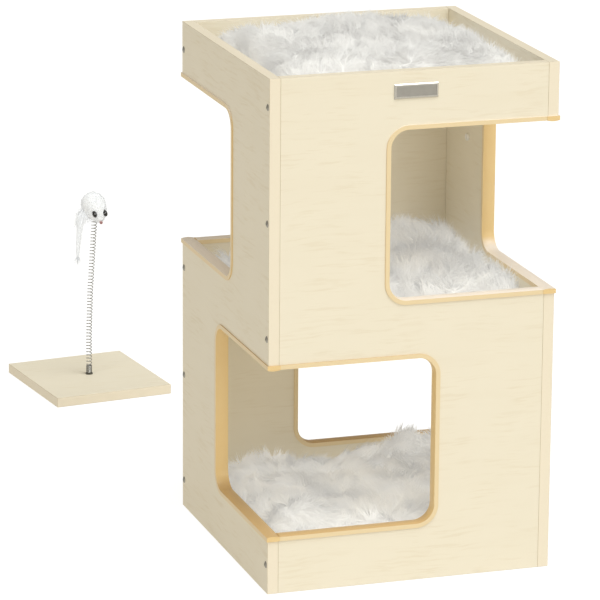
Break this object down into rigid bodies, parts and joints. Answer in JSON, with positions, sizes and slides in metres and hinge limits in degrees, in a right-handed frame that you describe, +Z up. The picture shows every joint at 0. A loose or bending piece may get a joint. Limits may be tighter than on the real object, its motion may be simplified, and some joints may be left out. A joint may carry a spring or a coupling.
{
  "type": "cat tree",
  "caption": "Cat house of laminated boards with open-cornered dens, a tray on top, loose fur cushions, honey edge trim and a spring mouse toy on its own board.",
  "frame": {"origin": "middle of the house's underside, on the floor", "axes": "+Z up, -Y out of the front with the name plate, +X to the right of it"},
  "size_m": [0.4779, 1.1467, 0.7308],
  "materials": {
    "laminate": "satin",
    "edge_trim": "semi-gloss",
    "screw_steel": "satin",
    "beech": "raw",
    "plate_chrome": "polished",
    "plate_satin": "satin",
    "disc_plastic": "satin",
    "long_fur": "long pile",
    "filling": "loose fibre",
    "spring_steel": "bright",
    "plush": "short pile",
    "tail_fur": "long pile",
    "eye_black": "gloss",
    "nose_pink": "satin"
  },
  "bodies": {
    "house": {"front_wall": "laminate", "right_wall": "laminate", "back_wall": "laminate", "left_wall": "laminate", "front_upper_trim": "edge_trim", "front_lower_trim": "edge_trim", "right_upper_trim": "edge_trim", "right_lower_trim": "edge_trim", "back_upper_trim": "edge_trim", "back_lower_trim": "edge_trim", "left_upper_trim": "edge_trim", "left_lower_trim": "edge_trim", "left_wall_screws": "screw_steel", "right_wall_screws": "screw_steel", "base_floor": "laminate", "base_dowels": "beech", "shelf_floor": "laminate", "shelf_dowels": "beech", "tray_floor": "laminate", "tray_dowels": "beech", "plate_frame": "plate_chrome", "plate_face": "plate_satin", "hanging_disc": "disc_plastic"},
    "lower_cushion": {"lower_cushion_cover": "long_fur", "lower_cushion_filling": "filling"},
    "upper_cushion": {"upper_cushion_cover": "long_fur", "upper_cushion_filling": "filling"},
    "top_cushion": {"top_cushion_cover": "long_fur", "top_cushion_filling": "filling"},
    "toy_stand": {"toy_board": "laminate", "toy_screw": "screw_steel", "spring_ferrule": "spring_steel", "lower_spring": "spring_steel"},
    "spring_middle": {"middle_spring": "spring_steel"},
    "mouse": {"upper_spring": "spring_steel", "mouse_body": "plush", "mouse_eyes": "eye_black", "mouse_nose": "nose_pink", "mouse_tail": "tail_fur"}
  },
  "joints": [
    {"name": "top_cushion_lift", "type": "slide", "parent": "house", "child": "top_cushion", "axis": [0, 0, 1], "range_m": [0, 0.15]},
    {"name": "upper_cushion_lift", "type": "slide", "parent": "house", "child": "upper_cushion", "axis": [0, 0, 1], "range_m": [0, 0.12]},
    {"name": "lower_cushion_lift", "type": "slide", "parent": "house", "child": "lower_cushion", "axis": [0, 0, 1], "range_m": [0, 0.12]},
    {"name": "toy_lift", "type": "slide", "parent": "house", "child": "toy_stand", "axis": [0, 0, 1], "range_m": [0, 0.3]},
    {"name": "spring_sway_ahead", "type": "hinge", "parent": "toy_stand", "child": "spring_middle", "pos_m": [-0.169, 0.829, 0.075], "axis": [1, 0, 0], "range_deg": [-35, 35], "stiffness_Nm_per_rad": 0.5},
    {"name": "spring_sway_aside", "type": "hinge", "parent": "spring_middle", "child": "mouse", "pos_m": [-0.16638, 0.829, 0.14995], "axis": [0, 1, 0], "range_deg": [-35, 35], "stiffness_Nm_per_rad": 0.5}
  ]
}
